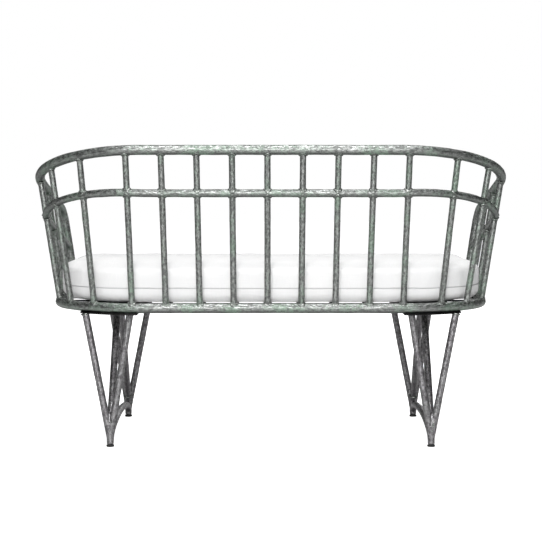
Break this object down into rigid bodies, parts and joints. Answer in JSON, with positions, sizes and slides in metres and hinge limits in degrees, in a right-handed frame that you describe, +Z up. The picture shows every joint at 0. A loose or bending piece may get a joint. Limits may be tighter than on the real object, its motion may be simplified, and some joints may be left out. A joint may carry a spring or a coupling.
{
  "type": "metal daybed",
  "caption": "Small iron daybed with a curved spindle back, falling arms, tripod rod legs joined by low arches, a slatted deck and a loose white box cushion.",
  "frame": {"origin": "on the floor, under the middle of the overall box", "axes": "+X to the sitter's left along the length, +Y to the back, +Z up"},
  "size_m": [1.2654, 0.698, 0.7806],
  "materials": {
    "patinated_iron": "worn zinc-grey iron mottled with green patina, satin with bright rubbed spots",
    "leg_iron": "worn grey iron with a violet-grey cast, satin",
    "black_steel": "matt black paint",
    "glide_rubber": "matt black",
    "cushion_canvas": "plain woven white canvas"
  },
  "bodies": {
    "frame": {"top_rail_and_posts": "patinated_iron", "mid_rail": "patinated_iron", "seat_rail": "patinated_iron", "front_rail": "patinated_iron", "spindle_middle": "patinated_iron", "spindle_right_1": "patinated_iron", "spindle_right_2": "patinated_iron", "spindle_right_3": "patinated_iron", "spindle_right_4": "patinated_iron", "spindle_right_5": "patinated_iron", "spindle_right_6": "patinated_iron", "spindle_right_7": "patinated_iron", "spindle_right_8": "patinated_iron", "spindle_right_9": "patinated_iron", "spindle_left_1": "patinated_iron", "spindle_left_2": "patinated_iron", "spindle_left_3": "patinated_iron", "spindle_left_4": "patinated_iron", "spindle_left_5": "patinated_iron", "spindle_left_6": "patinated_iron", "spindle_left_7": "patinated_iron", "spindle_left_8": "patinated_iron", "spindle_left_9": "patinated_iron", "deck_bar_1": "black_steel", "deck_bar_2": "black_steel", "deck_bar_3": "black_steel", "deck_bar_4": "black_steel", "deck_bar_5": "black_steel", "deck_bar_6": "black_steel", "deck_bar_7": "black_steel", "deck_bar_8": "black_steel", "deck_bar_9": "black_steel", "deck_strip_1": "black_steel", "deck_strip_2": "black_steel", "deck_strip_3": "black_steel", "deck_strip_4": "black_steel", "deck_strip_5": "black_steel", "leg_plate_right": "black_steel", "leg_plate_left": "black_steel", "leg_rear_right": "leg_iron", "leg_front_right": "leg_iron", "leg_rear_left": "leg_iron", "leg_front_left": "leg_iron", "strut_rear_right": "leg_iron", "strut_front_right": "leg_iron", "strut_rear_left": "leg_iron", "strut_front_left": "leg_iron", "foot_arch_right": "leg_iron", "foot_arch_left": "leg_iron", "glide_rear_right": "glide_rubber", "glide_front_right": "glide_rubber", "glide_rear_left": "glide_rubber", "glide_front_left": "glide_rubber"},
    "cushion": {"seat_cushion": "cushion_canvas"}
  },
  "joints": [
    {"name": "cushion_lift", "type": "slide", "parent": "frame", "child": "cushion", "axis": [0, 0, 1], "range_m": [0, 0.42]}
  ]
}
